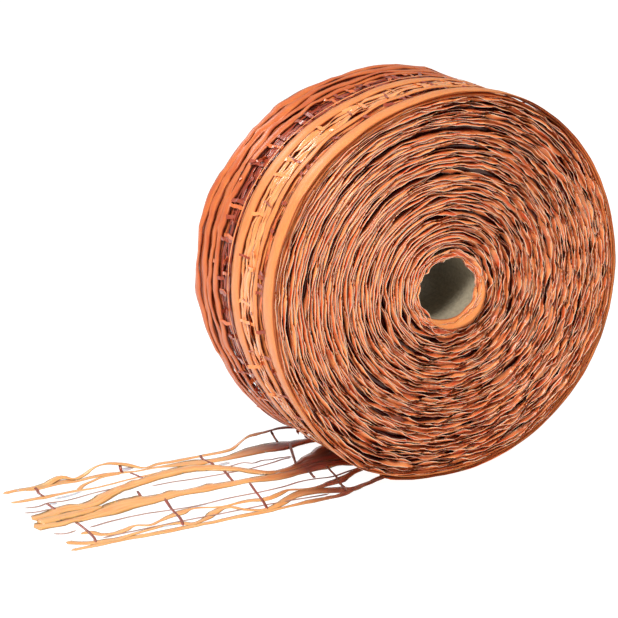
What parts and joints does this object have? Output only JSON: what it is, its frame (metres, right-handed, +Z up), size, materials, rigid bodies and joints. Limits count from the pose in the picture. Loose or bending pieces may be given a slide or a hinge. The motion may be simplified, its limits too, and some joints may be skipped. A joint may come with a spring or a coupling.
{
  "type": "roll of warning mesh",
  "caption": "Roll of orange plastic warning mesh wound on a cardboard core, lying on its rim with its free end rolled out flat in front.",
  "frame": {"origin": "on the floor, under the middle of the whole object's box", "axes": "+Z up, +Y along the roll's axis from the near end to the far end, and the free end runs out towards -X"},
  "size_m": [0.692, 0.2, 0.444],
  "materials": {
    "mesh_film": "thin translucent orange film, slit and drawn out, with a soft gloss",
    "core_card": "spirally wound grey card, matte"
  },
  "bodies": {
    "root": {"warning_mesh": "mesh_film", "core_tube": "core_card"}
  },
  "joints": []
}
